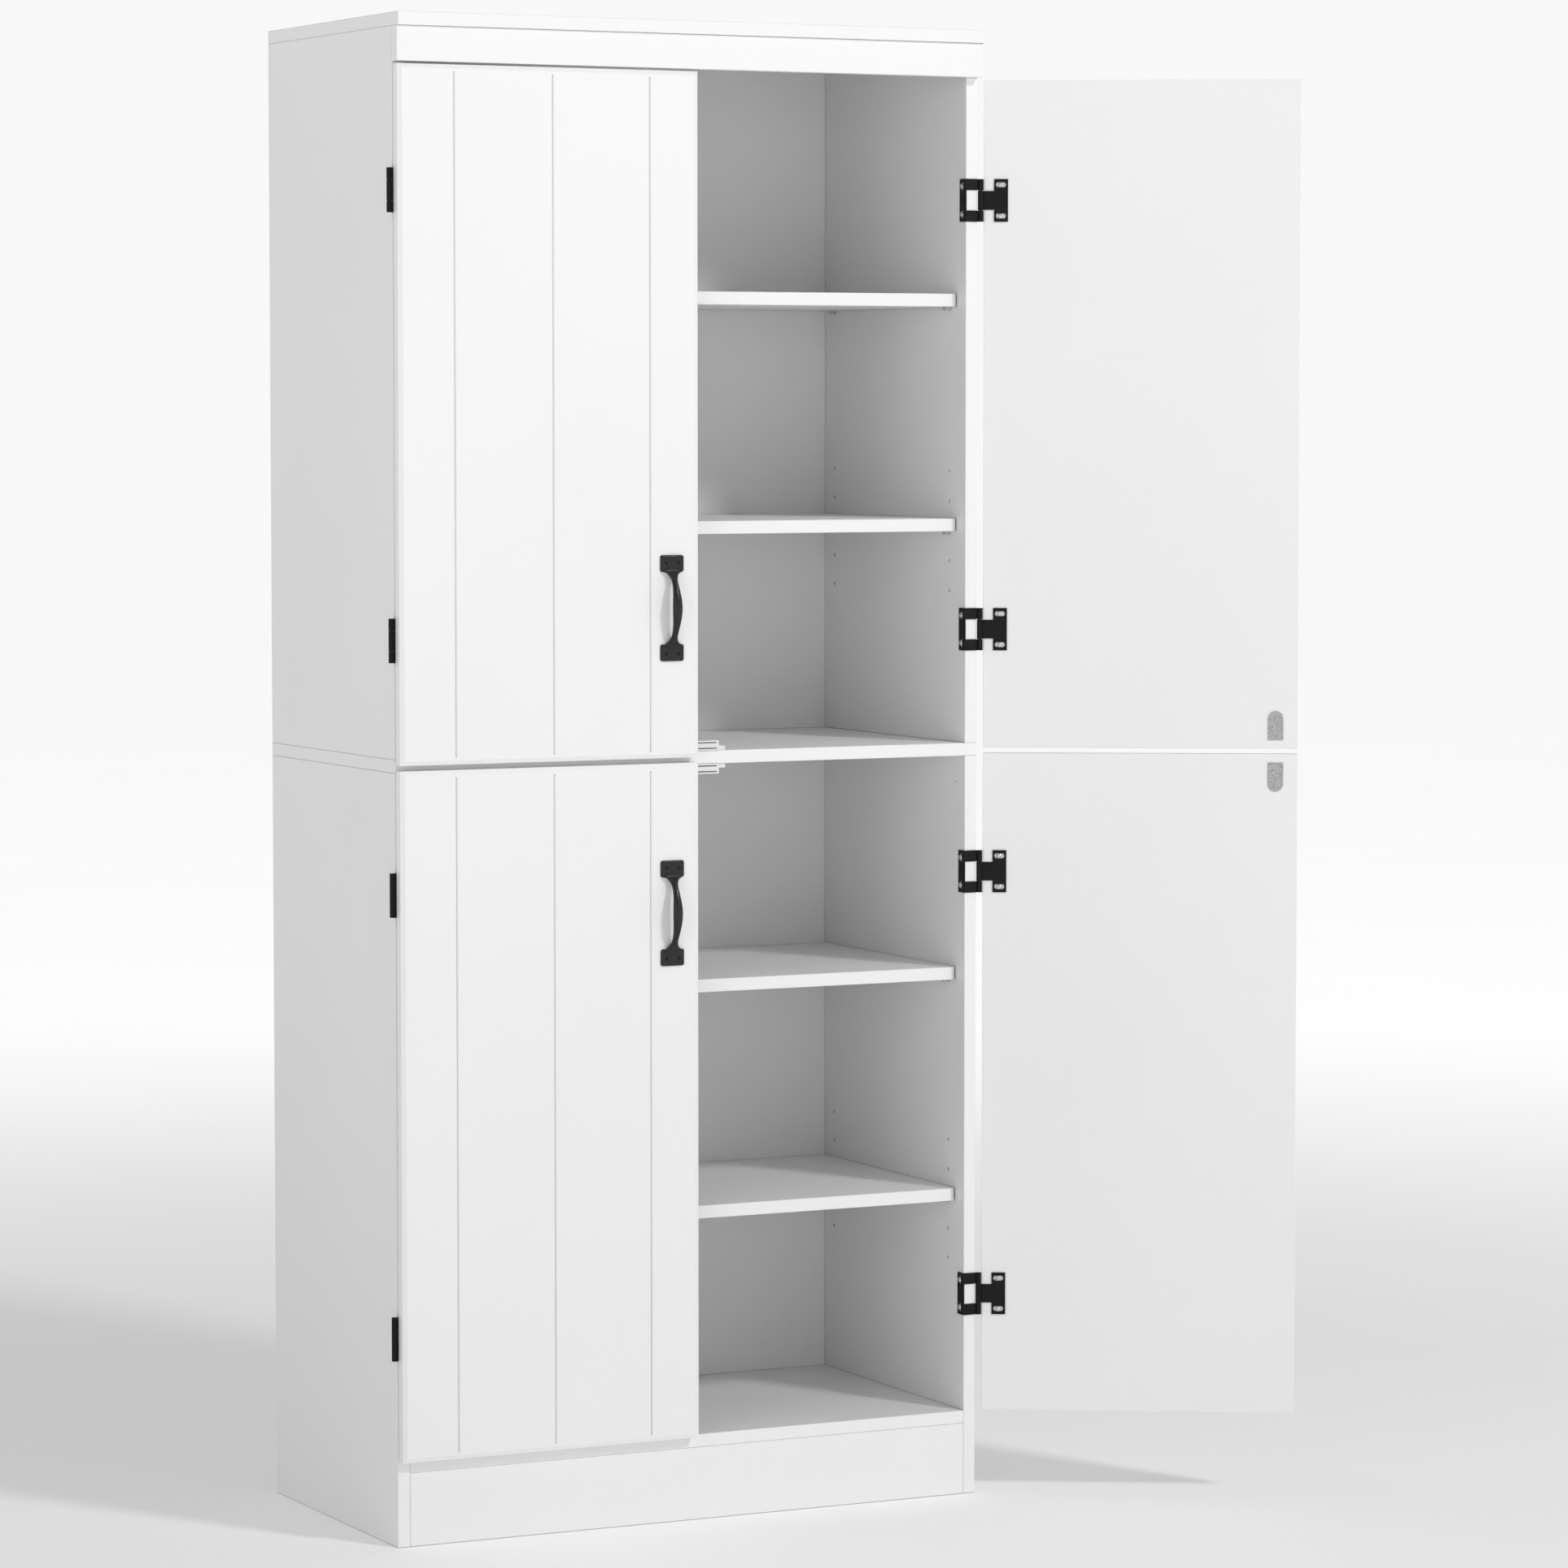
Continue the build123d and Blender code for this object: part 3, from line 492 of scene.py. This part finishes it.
# ---- screws in the frame leaves' slots, on the carcass ----
strip_screw_offset = 0.0174  # from the hinge's middle
strip_screw_set_back = 0.0082  # from the sides' front edges
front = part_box("lower_side_left")[0][1]
places = []
for tier in TIERS:
    for hand in HANDS:
        low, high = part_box(f"{tier}_{hand}_frame_leaves")
        inward = 1 if hand == "left" else -1
        strip_x = high[0] if hand == "left" else low[0]
        for centre in (low[2] + hinge_half, high[2] - hinge_half):
            for way in (-1, 1):
                height = centre + way * strip_screw_offset
                spot = (strip_x - inward * head_sink, front + strip_screw_set_back, height)
                places.append(facing(spot, (inward, 0, 0), (0, 1, 0)))
screw_set("frame_leaf_screw_set", places, "carcass", "steel_screw", ["frame_leaf_screws"], hinge_screw)

# ---- screws through the catches' ears ----
ear_height = 0.0055
screws_low, screws_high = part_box("catch_screws")
middle_y = (screws_low[1] + screws_high[1]) / 2
places = []
for tier, up in (("upper", 1), ("lower", -1)):
    low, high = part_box(f"{tier}_catch_housing")
    ear_top = (low[2] if up > 0 else high[2]) + up * ear_height
    for side in (-1, 1):
        spot = (side * (screws_high[0] - catch_screw[0]), middle_y, ear_top)
        places.append(facing(spot, (0, 0, up), (1, 0, 0)))
screw_set("catch_screw_set", places, "carcass", "steel_screw", ["catch_screws"], catch_screw)


# ---- soft edges on the doors and fittings that keep their CAD shape ----
sharp_edge = math.radians(32)
edge_rounds = (
    # how the names end, the round's width and its segments
    ("_door", 0.0005, 3),
    ("_leaves", 0.00025, 2),
    ("strike_plate", 0.00025, 2),
    ("housing", 0.0004, 3),
    ("cam_caps", 0.0002, 2),
    ("shelf_pins", 0.0002, 2),
)


def soften(node, width, segments):
    """Rounds a node's sharp edges a little and keeps its flats flat."""
    bevel = node.modifiers.new("soft_edges", "BEVEL")
    bevel.width = width
    bevel.segments = segments
    bevel.limit_method = "ANGLE"
    bevel.angle_limit = sharp_edge
    bevel.harden_normals = True
    node.data.shade_smooth()


for name, node in nodes.items():
    for ending, width, segments in edge_rounds:
        if name.endswith(ending):
            soften(node, width, segments)

# ---- floor: pale, with a faint glow that grows until the far floor reads white ----
near_glow, far_glow = 0.13, 0.52
glow_start, glow_end = 1.0, 6.0
floor_radius, floor_drop = 60.0, 0.0004

shader = Shader("studio_floor")
dust = shader.noise(scale=1.3)
shader.link(shader.two_tone(dust, grey(0.91), grey(0.93)), "Base Color")
shader.link(shader.spread(dust, 0.70, 0.85), "Roughness")
shader.set(Specular_IOR_Level=0.2, Emission_Color=(1.0, 1.0, 1.0, 1.0))
reach = shader.add("ShaderNodeVectorMath", {0: shader.place}, operation="LENGTH").outputs["Value"]
glow_values = {0: reach, 1: glow_start, 2: glow_end, 3: near_glow, 4: far_glow}
glow = shader.add("ShaderNodeMapRange", glow_values, interpolation_type="SMOOTHSTEP")
shader.link(glow.outputs[0], "Emission Strength")
floor_mesh = bmesh.new()
bmesh.ops.create_circle(floor_mesh, cap_ends=True, radius=floor_radius, segments=96)
floor_data = bpy.data.meshes.new("floor")
floor_mesh.to_mesh(floor_data)
floor_mesh.free()
floor_data.materials.append(shader.material)
floor = bpy.data.objects.new("floor", floor_data)
floor.location.z = -floor_drop
bpy.context.collection.objects.link(floor)

# ---- sky: changes evenly from front to back, brighter overhead and in a band round the horizon ----
front_sky, back_sky, high_sky, low_sky = 0.36, 0.32, 0.20, 0.62
overhead_from, overhead_full = 0.50, 0.95  # heights of a direction of length 1
horizon_full, horizon_to = 0.07, 0.25

scene = bpy.context.scene
world = bpy.data.worlds.new("studio")
scene.world = world
world.use_nodes = True
sky = world.node_tree
background = sky.nodes["Background"]
background.inputs["Color"].default_value = (1.0, 1.0, 1.0, 1.0)


def sky_range(value, kind, from_low, from_high, to_low, to_high):
    """A sky node that maps one value to another range."""
    node = sky.nodes.new("ShaderNodeMapRange")
    node.interpolation_type = kind
    sky.links.new(value, node.inputs["Value"])
    limits = {"From Min": from_low, "From Max": from_high, "To Min": to_low, "To Max": to_high}
    for key, number in limits.items():
        node.inputs[key].default_value = number
    return node.outputs["Result"]


direction = sky.nodes.new("ShaderNodeTexCoord").outputs["Generated"]
parts = sky.nodes.new("ShaderNodeSeparateXYZ")
sky.links.new(direction, parts.inputs["Vector"])
layers = (
    sky_range(parts.outputs["Y"], "LINEAR", -1.0, 1.0, front_sky, back_sky),
    sky_range(parts.outputs["Z"], "SMOOTHSTEP", overhead_from, overhead_full, 0.0, high_sky),
    sky_range(parts.outputs["Z"], "SMOOTHSTEP", horizon_full, horizon_to, low_sky, 0.0),
)
total = layers[0]
for layer in layers[1:]:
    both = sky.nodes.new("ShaderNodeMath")
    sky.links.new(total, both.inputs[0])
    sky.links.new(layer, both.inputs[1])
    total = both.outputs[0]
sky.links.new(total, background.inputs["Strength"])
scene.view_settings.view_transform = "Standard"

# ---- lamps ----
aim_height = 0.95
softboxes = (
    # name, place, width and power in watts
    ("key", (3.3, -6.8, 5.95), 1.1, 252.0),
    ("fill", (-1.0, -7.6, 1.3), 3.2, 12.0),
    ("side_fill", (-6.2, -4.2, 2.2), 3.2, 35.0),
)


def softbox(name, place, width, power):
    """A disk lamp that faces the middle of the cabinet's front, hidden from the camera."""
    data = bpy.data.lights.new(name, "AREA")
    data.shape = "DISK"
    data.size = width
    data.energy = power
    lamp = bpy.data.objects.new(name, data)
    lamp.location = place
    heading = Vector((0.0, front, aim_height)) - Vector(place)
    lamp.rotation_euler = heading.to_track_quat("-Z", "Y").to_euler()
    lamp.visible_camera = False
    bpy.context.collection.objects.link(lamp)


for lamp_values in softboxes:
    softbox(*lamp_values)

# ---- camera ----
camera_place = (-3.0282, -6.4975, 1.3779)
camera_pitch, camera_turn = -3.818, -26.594  # degrees, from level and from the y axis
camera_lens, sensor_width = 131.15, 36.0  # millimetres

camera_data = bpy.data.cameras.new("camera")
camera_data.sensor_width = sensor_width
camera_data.lens = camera_lens
camera_data.clip_end = 200.0
camera = bpy.data.objects.new("camera", camera_data)
camera.location = camera_place
camera.rotation_euler = (math.radians(90 + camera_pitch), 0.0, math.radians(camera_turn))
bpy.context.collection.objects.link(camera)
scene.camera = camera
